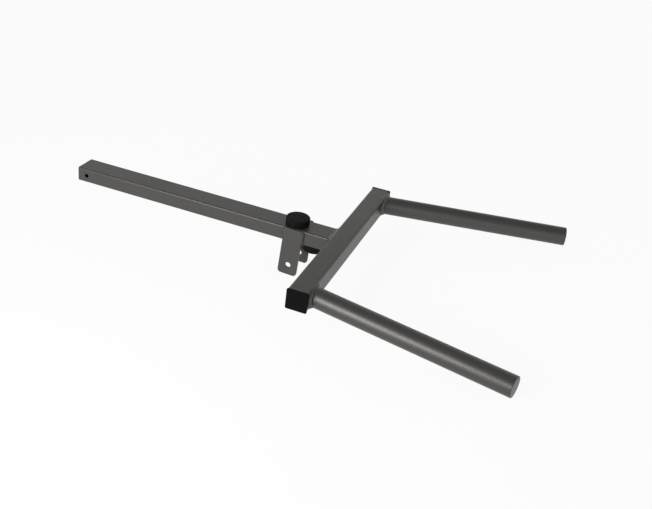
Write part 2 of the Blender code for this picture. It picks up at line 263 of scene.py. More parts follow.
class LeverArmFinish(bpy.types.PropertyGroup):
    """Colours and gloss of the coated steel, plastic, rubber and zinc."""

    coat: FloatVectorProperty(
        name="Powder coat", description="Graphite grey of the coated steel",
        subtype="COLOR", size=3, min=0, max=1, default=(0.079, 0.077, 0.0725),
    )
    coat_metallic: FloatProperty(
        name="Flake share", description="How metallic the coating looks",
        subtype="FACTOR", default=0.7, min=0, max=1,
    )
    coat_roughness: FloatProperty(
        name="Coat roughness", description="Roughness of the coated steel",
        subtype="FACTOR", default=0.42, min=0, max=1,
    )
    plastic: FloatVectorProperty(
        name="Plug plastic", description="Black of the moulded plugs",
        subtype="COLOR", size=3, min=0, max=1, default=(0.004, 0.004, 0.0043),
    )
    rubber: FloatVectorProperty(
        name="Stop rubber", description="Black of the moulded stops",
        subtype="COLOR", size=3, min=0, max=1, default=(0.004, 0.004, 0.004),
    )
    zinc: FloatVectorProperty(
        name="Zinc", description="Plating of the studs and rivet nuts",
        subtype="COLOR", size=3, min=0, max=1, default=(0.55, 0.56, 0.58),
    )


class LeverArmStage(bpy.types.PropertyGroup):
    """The camera, the floor and the light."""

    camera_place: FloatVectorProperty(
        name="Camera place", description="Where the photograph was taken from",
        subtype="TRANSLATION", unit="LENGTH", size=3, default=(0.51914, -1.49009, 0.940955),
    )
    camera_turn: FloatVectorProperty(
        name="Camera turn", description="Euler angles of the photograph's camera",
        subtype="EULER", size=3,
        default=(math.radians(60.0578), math.radians(-6.6415), math.radians(20.8903)),
    )
    lens: FloatProperty(
        name="Lens", description="Focal length on a 36 mm wide sensor",
        subtype="DISTANCE_CAMERA", default=49.94, min=10, max=300,
    )
    floor_colour: FloatVectorProperty(
        name="Floor", description="Plain pale floor",
        subtype="COLOR", size=3, min=0, max=1, default=(0.86, 0.86, 0.86),
    )
    floor_glow: FloatProperty(
        name="Floor glow", description="Share of plain white in the floor as seen or mirrored",
        subtype="FACTOR", default=0.92, min=0, max=1,
    )
    window_power: FloatProperty(
        name="Window power", description="Power of the softbox at the front left, in watts",
        default=18, min=0, max=500,
    )
    window_distance: FloatProperty(
        name="Window distance", description="From that softbox to the hand bars",
        default=1.6, min=0.5, max=5, unit="LENGTH",
    )
    window_size: FloatProperty(
        name="Window size", description="Side of that softbox",
        default=0.8, min=0.1, max=4, unit="LENGTH",
    )
    horizon: FloatProperty(
        name="Horizon", description="Brightness of the surroundings at eye level",
        default=1.0, min=0, max=3,
    )
    zenith: FloatProperty(
        name="Zenith", description="Brightness of the surroundings overhead",
        default=0.35, min=0, max=3,
    )


class Field:
    """A node's output. Python's operators on it add Math nodes to its tree."""

    def __init__(self, tree, socket):
        self.tree = tree
        self.socket = socket

    def math(self, operation, *values):
        return self.tree.add(
            "ShaderNodeMath", {"operation": operation}, dict(enumerate(values))
        )

    def __add__(self, other):
        return self.math("ADD", self, other)

    def __radd__(self, other):
        return self.math("ADD", other, self)

    def __sub__(self, other):
        return self.math("SUBTRACT", self, other)

    def __mul__(self, other):
        return self.math("MULTIPLY", self, other)

    def __rmul__(self, other):
        return self.math("MULTIPLY", other, self)

    def __truediv__(self, other):
        return self.math("DIVIDE", self, other)

    def __pow__(self, other):
        return self.math("POWER", self, other)

    def smooth(self, low, high):
        """0 below low, 1 above high, and a smooth step between."""
        return self.tree.add(
            "ShaderNodeMapRange", {"interpolation_type": "SMOOTHSTEP"},
            {"Value": self, "From Min": low, "From Max": high},
        )


class Tree:
    """A node tree with one way to add a node."""

    def __init__(self, tree):
        self.tree = tree
        tree.nodes.clear()

    def add(self, kind, settings=None, inputs=None, output=0):
        """Add a node: its type, its settings, its inputs' values or links, and its output."""
        node = self.tree.nodes.new(kind)
        for name, value in (settings or {}).items():
            # A capture node has an input for each item, so its items come first
            if name == "captures":
                for item_name, item_type in value:
                    node.capture_items.new(item_type, item_name)
            else:
                setattr(node, name, value)
        for key, value in (inputs or {}).items():
            if isinstance(value, Field):
                self.tree.links.new(value.socket, node.inputs[key])
            else:
                node.inputs[key].default_value = value
        return Field(self, node.outputs[output]) if node.outputs else None

    def other(self, field, output):
        """Another output of the node that a field comes from."""
        return Field(self, field.socket.node.outputs[output])

    def noise(self, where, size, detail=2.0):
        """Noise about 0.5, whose lumps are about as large as size, in metres."""
        return self.add(
            "ShaderNodeTexNoise", {}, {"Vector": where, "Scale": 1 / size, "Detail": detail}
        )

    def blend(self, factor, first, second):
        """A colour between two colours."""
        return self.add(
            "ShaderNodeMix", {"data_type": "RGBA"}, {0: factor, 6: first, 7: second}, 2
        )

    def scaled(self, vector, amount):
        return self.add(
            "ShaderNodeVectorMath", {"operation": "SCALE"}, {0: vector, "Scale": amount}
        )

    def total(self, first, second):
        return self.add("ShaderNodeVectorMath", {"operation": "ADD"}, {0: first, 1: second})


def shades(colour, low, high):
    """Two colours, as a colour times low and times high."""
    return [(*(channel * share for channel in colour), 1) for share in (low, high)]


def make_surface(name, build):
    """A material from build, which returns a Principled shader's inputs and its bump."""
    material = bpy.data.materials.new(name)
    material.use_nodes = True
    tree = Tree(material.node_tree)
    where = tree.add("ShaderNodeTexCoord", output="Object")
    sockets, bump_height, bump_distance = build(tree, where)
    sockets["Normal"] = tree.add(
        "ShaderNodeBump", {}, {"Height": bump_height, "Distance": bump_distance}
    )
    shader = tree.add("ShaderNodeBsdfPrincipled", {}, sockets)
    tree.add("ShaderNodeOutputMaterial", {}, {"Surface": shader})
    return material


def powder_coat(finish, name, peel, gloss=0.0):
    """Graphite grey metallic powder: orange peel, fine grain and small bright flakes."""
    roughness = finish.coat_roughness - gloss

    def build(tree, where):
        clouds = tree.noise(where, 60 * MM)
        waves = tree.noise(where, 2.2 * MM, 3.0)
        grain = tree.noise(where, 0.5 * MM, 2.0)
        flakes = tree.add(
            "ShaderNodeTexVoronoi", {}, {"Vector": where, "Scale": 1 / (0.45 * MM)}, "Color"
        )
        flake = tree.add("ShaderNodeSeparateColor", {}, {0: flakes})
        glint = flake.smooth(0.86, 1.0)
        low, high = shades(finish.coat, 0.90, 1.08)
        tone = tree.blend(0.35 * clouds + 0.65 * grain, low, high)
        bright = (*(min(1, channel * 2.2) for channel in finish.coat), 1)
        colour = tree.blend(0.35 * glint, tone, bright)
        rough = roughness + 0.10 * (clouds - 0.5) + 0.16 * (grain - 0.5) - 0.10 * glint
        height = 0.75 * waves + 0.25 * grain
        sockets = {
            "Base Color": colour, "Roughness": rough,
            "Metallic": finish.coat_metallic, "Specular IOR Level": 0.35,
        }
        return sockets, height, peel

    return make_surface(name, build)


def plug_plastic(finish):
    """Black moulded plastic with a fine spark-eroded skin."""

    def build(tree, where):
        clouds = tree.noise(where, 14 * MM)
        grain = tree.noise(where, 0.45 * MM, 3.0)
        low, high = shades(finish.plastic, 0.85, 1.25)
        rough = 0.50 + 0.10 * (clouds - 0.5) + 0.16 * (grain - 0.5)
        sockets = {
            "Base Color": tree.blend(grain, low, high), "Roughness": rough,
            "Specular IOR Level": 0.04,
        }
        return sockets, grain, 0.05 * MM

    return make_surface("Moulded Black Plastic", build)


def stop_rubber(finish):
    """Matt black rubber with a faint cloudy bloom and a fine grain."""

    def build(tree, where):
        clouds = tree.noise(where, 9 * MM, 4.0)
        grain = tree.noise(where, 0.6 * MM, 3.0)
        bloom = clouds.smooth(0.42, 0.72)
        low, high = shades(finish.rubber, 0.85, 1.9)
        rough = 0.60 + 0.14 * bloom + 0.12 * (grain - 0.5)
        sockets = {
            "Base Color": tree.blend(bloom, low, high), "Roughness": rough,
            "Specular IOR Level": 0.08,
        }
        return sockets, 0.3 * clouds + 0.7 * grain, 0.07 * MM

    return make_surface("Matt Black Rubber", build)


def zinc_plate(finish):
    """Bright zinc with fine turning marks and a slightly cloudy tone."""

    def build(tree, where):
        clouds = tree.noise(where, 5 * MM)
        marks = tree.noise(where, 0.2 * MM, 2.0)
        low, high = shades(finish.zinc, 0.85, 1.05)
        sockets = {
            "Base Color": tree.blend(clouds, low, high),
            "Roughness": 0.30 + 0.16 * (marks - 0.5), "Metallic": 1.0,
        }
        return sockets, marks, 0.02 * MM

    return make_surface("Zinc Plate", build)


def material(name):
    """One of the finishes, made the first time that a piece asks for it."""
    finish = bpy.context.scene.lever_arm_finish
    makers = {
        "Graphite Powder Coat": lambda: powder_coat(finish, name, peel=0.16 * MM),
        "Coated Weld": lambda: powder_coat(finish, name, peel=0.22 * MM, gloss=0.12),
        "Moulded Black Plastic": lambda: plug_plastic(finish),
        "Matt Black Rubber": lambda: stop_rubber(finish),
        "Zinc Plate": lambda: zinc_plate(finish),
    }
    return bpy.data.materials.get(name) or makers[name]()


def arc_points(centre, radius, start, turn, steps):
    """Points along an arc, its two ends included."""
    return [
        Vector(centre) + Matrix.Rotation(start + turn * step / steps, 2) @ Vector((radius, 0))
        for step in range(steps + 1)
    ]


def rounded_box(width, height, corner, steps=10):
    """A closed outline about the origin, its four corners rounded alike."""
    x, y = width / 2 - corner, height / 2 - corner
    points = []
    for quarter, centre in enumerate([(x, y), (-x, y), (-x, -y), (x, -y)]):
        points += arc_points(centre, corner, quarter * math.pi / 2, math.pi / 2, steps)
    return points


def circle(diameter, centre=(0, 0), steps=96):
    return arc_points(centre, diameter / 2, 0, math.tau * (steps - 1) / steps, steps - 1)


def mesh_object(name, mesh):
    piece = bpy.data.objects.new(name, mesh)
    bpy.context.scene.collection.objects.link(piece)
    return piece


def plain(piece):
    """Swap a piece for the plain mesh that it shows, placed by its vertices alone."""
    depsgraph = bpy.context.evaluated_depsgraph_get()
    mesh = bpy.data.meshes.new_from_object(piece.evaluated_get(depsgraph))
    mesh.transform(piece.matrix_world)
    name = piece.name
    bpy.data.objects.remove(piece, do_unlink=True)
    return mesh_object(name, mesh)


def weld_doubles(piece):
    """Merge the doubles of a closed mesh and turn its faces outwards."""
    cleaner = bmesh.new()
    cleaner.from_mesh(piece.data)
    bmesh.ops.remove_doubles(cleaner, verts=cleaner.verts, dist=0.002 * MM)
    bmesh.ops.recalc_face_normals(cleaner, faces=cleaner.faces)
    cleaner.to_mesh(piece.data)
    cleaner.free()
    return piece


def push_out(name, outlines, length, place, edge=0.0):
    """A flat outline with its holes, pushed out both ways along Z, then placed."""
    curve = bpy.data.curves.new(name, "CURVE")
    curve.dimensions = "2D"
    curve.fill_mode = "BOTH"
    curve.extrude = length / 2 - edge
    curve.bevel_depth = edge
    curve.bevel_resolution = 3
    curve.offset = -edge
    for outline in outlines:
        spline = curve.splines.new("POLY")
        spline.points.add(len(outline) - 1)
        for point, (x, y) in zip(spline.points, outline):
            point.co = (x, y, 0, 1)
        spline.use_cyclic_u = True
    piece = mesh_object(name, curve)
    piece.matrix_world = place
    bpy.context.view_layer.update()
    return weld_doubles(plain(piece))


def lathe(name, profile, place, steps=96):
    """A closed solid turned about Z from a profile of (radius, height)."""
    shape = bmesh.new()
    points = [shape.verts.new((radius, 0, height)) for radius, height in profile]
    for first, second in zip(points, points[1:]):
        shape.edges.new((first, second))
    bmesh.ops.spin(
        shape, geom=shape.verts[:] + shape.edges[:], cent=(0, 0, 0), axis=(0, 0, 1),
        angle=math.tau, steps=steps, use_merge=True,
    )
    mesh = bpy.data.meshes.new(name)
    shape.to_mesh(mesh)
    shape.free()
    mesh.transform(place)
    return weld_doubles(mesh_object(name, mesh))


def stacked(name, levels, place):
    """A closed solid through rounded squares, each (width, corner, height)."""
    shape = bmesh.new()
    loops = []
    for width, corner, height in levels:
        outline = rounded_box(width, width, corner, 6)
        loops.append([shape.verts.new((x, y, height)) for x, y in outline])
    for lower, upper in zip(loops, loops[1:]):
        for index in range(len(lower)):
            after = (index + 1) % len(lower)
            shape.faces.new((lower[index], lower[after], upper[after], upper[index]))
    shape.faces.new(loops[0])
    shape.faces.new(loops[-1])
    mesh = bpy.data.meshes.new(name)
    shape.to_mesh(mesh)
    shape.free()
    mesh.transform(place)
    return weld_doubles(mesh_object(name, mesh))


def cut(piece, cutters):
    """Cut other solids out of a piece, and remove them."""
    for cutter in cutters:
        modifier = piece.modifiers.new("cut", "BOOLEAN")
        modifier.operation = "DIFFERENCE"
        modifier.solver = "EXACT"
        modifier.object = cutter
    result = plain(piece)
    for cutter in cutters:
        bpy.data.objects.remove(cutter, do_unlink=True)
    return result


def drill(diameter, length, place):
    return push_out("drill", [circle(diameter, steps=64)], length, place)


def settle(piece, node):
    """Move a piece's mesh so that its box has the same middle as a node's."""
    corners = [piece.matrix_world @ vertex.co for vertex in piece.data.vertices]
    low = Vector([min(corner[axis] for corner in corners) for axis in range(3)])
    high = Vector([max(corner[axis] for corner in corners) for axis in range(3)])
    piece.data.transform(Matrix.Translation(middle(node) - (low + high) / 2))
    return piece


def dress(piece, finish_name, node, edge=0.0, sharp=math.radians(50)):
    """Round and shade a finished piece, give it its material and put it in the frame."""
    if edge:
        bevel = piece.modifiers.new("painted edge", "BEVEL")
        bevel.width = edge
        bevel.segments = 3
        bevel.limit_method = "ANGLE"
        bevel.angle_limit = math.radians(40)
        piece = plain(piece)
    piece.data.shade_smooth()
    piece.data.set_sharp_from_angle(angle=sharp)
    normals = piece.modifiers.new("face normals", "WEIGHTED_NORMAL")
    normals.keep_sharp = True
    piece = plain(piece)
    piece.data.materials.clear()
    piece.data.materials.append(material(finish_name))
    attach(piece, "root")
    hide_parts(node)


def along_x(middle_point):
    """Stand an outline up so that its length runs along X, its own Y along Z."""
    turn = Matrix(((0, 0, 1), (1, 0, 0), (0, 1, 0))).to_4x4()
    return Matrix.Translation(middle_point) @ turn


def along_y(middle_point):
    """Stand an outline up so that its length runs along Y, its own X along X."""
    turn = Matrix(((1, 0, 0), (0, 0, -1), (0, 1, 0))).to_4x4()
    return Matrix.Translation(middle_point) @ turn


def grip_direction(side):
    splay = side * bpy.context.scene.lever_arm_sizes.splay
    return Vector((math.cos(splay), math.sin(splay), 0))


def grip_root(side):
    root = bpy.context.scene.lever_arm_sizes.grip_root
    return Vector((BAR_FRONT, BAR_MIDDLE.y + side * root, BAR_MIDDLE.z))


def bead_nodes():
    """Geometry nodes that lay a rippled fillet weld along a seam."""
    group = bpy.data.node_groups.new("Rippled Weld", "GeometryNodeTree")
    tree = Tree(group)
    face = group.interface
    face.new_socket("Seam", in_out="INPUT", socket_type="NodeSocketGeometry")
    for name in ("Step", "Pitch", "Height", "Bow", "Lumps", "Inset", "Seed"):
        face.new_socket(name, in_out="INPUT", socket_type="NodeSocketFloat")
    face.new_socket("Finish", in_out="INPUT", socket_type="NodeSocketMaterial")
    face.new_socket("Weld", in_out="OUTPUT", socket_type="NodeSocketGeometry")
    seam = tree.add("NodeGroupInput", output="Seam")

    def given(name):
        return tree.other(seam, name)

    def stored(name, data_type="FLOAT"):
        return tree.add("GeometryNodeInputNamedAttribute", {"data_type": data_type}, {0: name})

    path = tree.add("GeometryNodeMeshToCurve", {}, {"Mesh": seam})
    path = tree.add(
        "GeometryNodeResampleCurve", {"mode": "LENGTH"}, {"Curve": path, "Length": given("Step")}
    )
    length = tree.add("GeometryNodeSplineParameter", {}, {}, "Factor")
    whole = tree.add("GeometryNodeSplineLength", {}, {}, "Length")
    position = tree.add("GeometryNodeInputPosition")
    path = tree.add(
        "GeometryNodeCaptureAttribute",
        {"captures": [("Place", "VECTOR"), ("Along", "FLOAT"), ("Whole", "FLOAT")]},
        {"Geometry": path, "Place": position, "Along": length, "Whole": whole},
    )
    section = tree.add(
        "GeometryNodeCurveArc", {"mode": "RADIUS"},
        {"Resolution": 13, "Radius": 1.0, "Sweep Angle": math.pi / 2, "Connect Center": True},
    )
    section = tree.add(
        "GeometryNodeCaptureAttribute", {"captures": [("Section", "VECTOR")]},
        {"Geometry": section, "Section": position},
    )
    solid = tree.add(
        "GeometryNodeCurveToMesh", {},
        {"Curve": path, "Profile Curve": section, "Fill Caps": True},
    )

    out = tree.add("ShaderNodeSeparateXYZ", {}, {0: tree.other(section, "Section")}, "X")
    up = tree.other(out, "Y")
    swing = out.math("ARCTAN2", up, out) / (math.pi / 2)
    crest = out.math("SINE", math.pi * swing)
    whole = tree.other(path, "Whole")
    count = out.math("ROUND", whole / given("Pitch"))
    bowed = given("Bow") * (2 * swing - 1) ** 2
    phase = tree.other(path, "Along") * count - bowed
    ripple = out.math("ABSOLUTE", out.math("SINE", math.pi * phase)) ** 0.6 - 1
    place = tree.other(path, "Place")
    lump = tree.add(
        "ShaderNodeTexNoise", {"noise_dimensions": "4D"},
        {"Vector": place, "W": given("Seed"), "Scale": 1 / LUMP_SIZE, "Detail": 1.0},
    )
    relief = crest * (given("Height") * ripple + given("Lumps") * (lump - 0.5))
    power = stored("flatness")
    reach = (out ** power) * (stored("leg_out") + given("Inset")) - given("Inset")
    climb = (up ** power) * (stored("leg_up") + stored("sink")) - stored("sink")
    outward = tree.scaled(stored("outward", "FLOAT_VECTOR"), reach + relief * out)
    upward = tree.scaled(stored("upward", "FLOAT_VECTOR"), climb + relief * up)
    moved = tree.total(tree.total(place, outward), upward)
    solid = tree.add("GeometryNodeSetPosition", {}, {"Geometry": solid, "Position": moved})
    solid = tree.add("GeometryNodeSetShadeSmooth", {}, {"Geometry": solid})
    solid = tree.add("GeometryNodeRealizeInstances", {}, {"Geometry": solid})
    solid = tree.add(
        "GeometryNodeSetMaterial", {}, {"Geometry": solid, "Material": given("Finish")}
    )
    tree.add("NodeGroupOutput", {}, {"Weld": solid})
    return group


def lay_bead(name, seam, closed):
    """Lay one weld along a seam of (place, outward, upward, leg out, leg up, sink, flatness)."""
    welds = bpy.context.scene.lever_arm_welds
    mesh = bpy.data.meshes.new(name)
    edges = [(index, index + 1) for index in range(len(seam) - 1)]
    if closed:
        edges.append((len(seam) - 1, 0))
    mesh.from_pydata([point[0] for point in seam], edges, [])
    columns = (("outward", "FLOAT_VECTOR"), ("upward", "FLOAT_VECTOR"),
               ("leg_out", "FLOAT"), ("leg_up", "FLOAT"), ("sink", "FLOAT"),
               ("flatness", "FLOAT"))
    for column, (attribute_name, kind) in enumerate(columns, start=1):
        attribute = mesh.attributes.new(attribute_name, kind, "POINT")
        for index, point in enumerate(seam):
            if kind == "FLOAT":
                attribute.data[index].value = point[column]
            else:
                attribute.data[index].vector = point[column]
    piece = mesh_object(name, mesh)
    group = bpy.data.node_groups.get("Rippled Weld") or bead_nodes()
    modifier = piece.modifiers.new("weld", "NODES")
    modifier.node_group = group
    values = {
        "Step": BEAD_STEP, "Pitch": welds.pitch, "Height": welds.height, "Bow": welds.bow,
        "Lumps": welds.lumps, "Inset": BEAD_INSET,
        "Seed": float(welds.seed), "Finish": material("Coated Weld"),
    }
    for socket in group.interface.items_tree:
        if socket.in_out == "INPUT" and socket.name in values:
            modifier[socket.identifier] = values[socket.name]
    dress(weld_doubles(plain(piece)), "Coated Weld", name)


def corner_drop(height):
    """How far the crossbar's face falls back at a height from its middle."""
    corner = bpy.context.scene.lever_arm_sizes.bar_corner
    past = abs(height) - (BAR_SIZE / 2 - corner)
    if past <= 0:
        return 0.0
    return corner - math.sqrt(max(0.0, corner * corner - past * past))


class LEVERARM_OT_arm(bpy.types.Operator):
    """Build the lever tube, drilled at its tail and for both stops, and its tail plate"""

    bl_idname = "leverarm.arm"
    bl_label = "Lever Tube"

    def execute(self, context):
        sizes = context.scene.lever_arm_sizes
        low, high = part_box("main_arm")
        wall = 2 * sizes.wall
        outlines = [
            rounded_box(ARM_WIDTH, ARM_HEIGHT, sizes.arm_corner),
            rounded_box(ARM_WIDTH - wall, ARM_HEIGHT - wall, sizes.arm_corner - sizes.wall, 4),
        ]
        length = high.x - low.x + 2 * GAP
        arm = push_out("Lever_Tube", outlines, length, along_x(middle("main_arm")))
        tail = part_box("tail_plate")[0].x
        hole = Vector((tail + sizes.tail_inset, 0, BAR_MIDDLE.z))
        cutters = [drill(sizes.tail_hole, 2 * ARM_WIDTH, along_y(hole))]
        for name, side in STOPS:
            nut = middle(f"stop_stud_{name}")
            nut.z = BAR_MIDDLE.z + side * ARM_HEIGHT / 2
            cutters.append(drill(sizes.nut_hole, 4 * sizes.wall, Matrix.Translation(nut)))
        arm = cut(arm, cutters)
        dress(arm, "Graphite Powder Coat", "main_arm", edge=sizes.edge)

        thickness = extent("tail_plate").x
        plate = push_out(
            "Tail_Plate", [rounded_box(ARM_WIDTH, ARM_HEIGHT, sizes.arm_corner)], thickness,
            along_x(middle("tail_plate")), edge=sizes.edge,
        )
        dress(plate, "Graphite Powder Coat", "tail_plate")
        return {"FINISHED"}


class LEVERARM_OT_crossbar(bpy.types.Operator):
    """Build the square crossbar with a moulded plug in each end"""

    bl_idname = "leverarm.crossbar"
    bl_label = "Crossbar and Plugs"

    def execute(self, context):
        sizes = context.scene.lever_arm_sizes
        inside = BAR_SIZE - 2 * sizes.wall
        outlines = [
            rounded_box(BAR_SIZE, BAR_SIZE, sizes.bar_corner, 14),
            rounded_box(inside, inside, sizes.bar_corner - sizes.wall, 5),
        ]
        bar = push_out("Crossbar", outlines, BAR_LENGTH, along_y(BAR_MIDDLE), edge=sizes.edge)
        dress(bar, "Graphite Powder Coat", "crossbar")
        for name, side in SIDES:
            self.build_plug(f"crossbar_plug_{name}", side, sizes, inside)
        return {"FINISHED"}

    def build_plug(self, node, side, sizes, inside):
        """A crowned head over a ribbed hollow skirt, its seat at height 0."""
        depth = extent(node).y - sizes.plug_flange
        levels = self.head_levels(sizes) + self.skirt_levels(sizes, inside, depth)
        seat = Vector((BAR_MIDDLE.x, side * BAR_LENGTH / 2, BAR_MIDDLE.z))
        place = Matrix.Translation(seat) @ Matrix.Rotation(-side * math.pi / 2, 4, "X")
        plug = settle(stacked(node.title(), levels, place), node)
        dress(plug, "Moulded Black Plastic", node, sharp=math.radians(60))

    def head_levels(self, sizes):
        """The crowned face, its soft edge and the small step down to the tube's end."""
        head, crown, corner = sizes.plug_flange, sizes.plug_crown, sizes.plug_corner
        margin, edge, least_corner = 1.7 * MM, 1.2 * MM, 0.1 * MM
        rings, edge_steps = 10, 5
        levels = []
        for ring in range(1, rings + 1):
            share = ring / rings
            ring_corner = max(least_corner, (corner - margin) * share)
            levels.append(((PLUG_SIZE - 2 * margin) * share, ring_corner, head - crown * share ** 2))
        soft_edge = []
        for step in range(edge_steps + 1):
            angle = math.pi / 2 * step / edge_steps
            drop = edge * (1 - math.cos(angle))
            soft_edge.append((edge * (1 - math.sin(angle)), head - crown - drop))
        seat_step = [(0, 0.35 * MM), (0.1 * MM, 0.1 * MM), (0.35 * MM, 0)]
        for inset, height in soft_edge + seat_step:
            levels.append((PLUG_SIZE - 2 * inset, corner - inset, height))
        return levels

    def skirt_levels(self, sizes, inside, depth):
        """The ribs that hold the plug in the tube, and the skirt's hollow inside."""
        corner = sizes.bar_corner - sizes.wall
        slack, rib_height, skirt_wall, roof = 0.3 * MM, 1.2 * MM, 2 * MM, 0.3 * MM
        crest = inside - 2 * slack
        skirt = crest - 2 * rib_height
        bore = skirt - 2 * skirt_wall
        rib = ((skirt, 0.9 * MM), (crest, 0.5 * MM), (crest, -0.4 * MM), (skirt, -0.9 * MM))
        ribs = 3
        pitch = depth / (ribs + 0.5)
        levels = []
        for count in range(1, ribs + 1):
            levels += [(width, corner, rise - pitch * count) for width, rise in rib]
        return levels + [(skirt, corner, -depth), (bore, corner, -depth), (bore, corner, -roof)]


class LEVERARM_OT_hand_bars(bpy.types.Operator):
    """Build the two splayed hand bars, each fitted to the crossbar and closed by a disc"""

    bl_idname = "leverarm.hand_bars"
    bl_label = "Hand Bars"

    def execute(self, context):
        sizes = context.scene.lever_arm_sizes
        for name, side in SIDES:
            root, along = grip_root(side), grip_direction(side)
            across = Vector((-along.y, along.x, 0))
            turn = Matrix((across, Vector((0, 0, 1)), along)).transposed().to_4x4()
            run_in = sizes.grip_diameter / 2
            length = sizes.grip_length - sizes.disc + run_in
            centre = root + along * (length / 2 - run_in)
            outlines = [
                circle(sizes.grip_diameter),
                circle(sizes.grip_diameter - 2 * sizes.wall, steps=48),
            ]
            tube = push_out(
                f"Hand_Bar_{name.title()}", outlines, length, Matrix.Translation(centre) @ turn,
                edge=SAWN_EDGE,
            )
            block = push_out(
                "block", [rounded_box(BAR_SIZE, BAR_SIZE, sizes.bar_corner, 14)],
                BAR_LENGTH, along_y(BAR_MIDDLE),
            )
            tube = cut(tube, [block])
            dress(tube, "Graphite Powder Coat", f"grip_tube_{name}")

            radius, edge = sizes.grip_diameter / 2, sizes.disc_edge
            rim = arc_points((radius - edge, sizes.disc - edge), edge, math.pi / 2, -math.pi / 2, 6)
            profile = [(0, sizes.disc), *[tuple(point) for point in rim]]
            profile += [(radius, SAWN_EDGE), (radius - SAWN_EDGE, 0), (0, 0)]
            seat = root + along * (sizes.grip_length - sizes.disc)
            disc = lathe(
                f"Hand_Bar_Disc_{name.title()}", profile, Matrix.Translation(seat) @ turn
            )
            dress(disc, "Graphite Powder Coat", f"grip_disc_{name}")
        return {"FINISHED"}


class LEVERARM_OT_ears(bpy.types.Operator):
    """Build the pair of drilled pivot ears, which lean back and spread a little"""

    bl_idname = "leverarm.ears"
    bl_label = "Pivot Ears"

    def execute(self, context):
        sizes = context.scene.lever_arm_sizes
        x, y = sizes.ear_width / 2, sizes.ear_length / 2
        upper, lower = sizes.ear_upper_corner, sizes.ear_lower_corner
        outline = []
        corners = [(x - upper, y - upper, upper), (upper - x, y - upper, upper),
                   (lower - x, lower - y, lower), (x - lower, lower - y, lower)]
        for quarter, (across, height, radius) in enumerate(corners):
            start = quarter * math.pi / 2
            outline += arc_points((across, height), radius, start, math.pi / 2, 10)
        hole = circle(sizes.ear_hole, (0, sizes.ear_hole_rise - y), 64)
        lean = Matrix.Rotation(-sizes.ear_lean, 4, "Z")
        for name, side in SIDES:
            node = f"pivot_ear_{name}"
            spread = Matrix.Rotation(side * sizes.ear_spread, 4, "X")
            ear = push_out(
                f"Pivot_Ear_{name.title()}", [outline, hole], sizes.ear_thickness,
                spread @ along_y(Vector()) @ lean, edge=sizes.edge,
            )
            settle(ear, node)
            ear.data.transform(Matrix.Translation((0, -side * GAP, 0)))
            dress(ear, "Graphite Powder Coat", node)
        return {"FINISHED"}


class LEVERARM_OT_stops(bpy.types.Operator):
    """Build the two moulded rubber stops, and give the studs and rivet nuts their zinc"""

    bl_idname = "leverarm.stops"
    bl_label = "Rubber Stops"

    def execute(self, context):
        edge = context.scene.lever_arm_sizes.stop_edge
        for name, side in STOPS:
            node = f"rubber_stop_{name}"
            profile = self.stop_profile(edge, extent(f"stop_stud_{name}").x)
            seat = Vector((middle(node).x, 0, BAR_MIDDLE.z + side * ARM_HEIGHT / 2))
            turn = Matrix.Identity(4) if side > 0 else Matrix.Rotation(math.pi, 4, "X")
            stop = lathe(
                f"Rubber_Stop_{name.title()}", profile, Matrix.Translation(seat) @ turn
            )
            dress(stop, "Matt Black Rubber", node)
            for fastener in (f"stop_stud_{name}", f"rivet_nut_{name}"):
                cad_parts[fastener].material_slots[0].material = material("Zinc Plate")
        return {"FINISHED"}

    def stop_profile(self, edge, plate_width):
        """Down a stop's side from its top to its foot, and into the pocket for its plate."""
        radius = STOP_DIAMETER / 2
        rim = arc_points((radius - edge, STOP_HEIGHT - edge), edge, math.pi / 2, -math.pi / 2, 8)
        parting = STOP_HEIGHT * 0.55
        line_depth, line_reach = 0.05 * MM, 0.5 * MM
        side = [(line_depth, parting + line_reach), (0, parting), (line_depth, parting - line_reach)]
        foot = [(0.15 * MM, 0.9 * MM), (0.6 * MM, 0.15 * MM), (1.2 * MM, 0)]
        pocket, recess = plate_width / 2 + 0.3 * MM, 2.6 * MM
        profile = [(0, STOP_HEIGHT), *[tuple(point) for point in rim]]
        profile += [(radius - inset, height) for inset, height in side + foot]
        return profile + [(pocket, 0), (pocket, recess), (0, recess)]


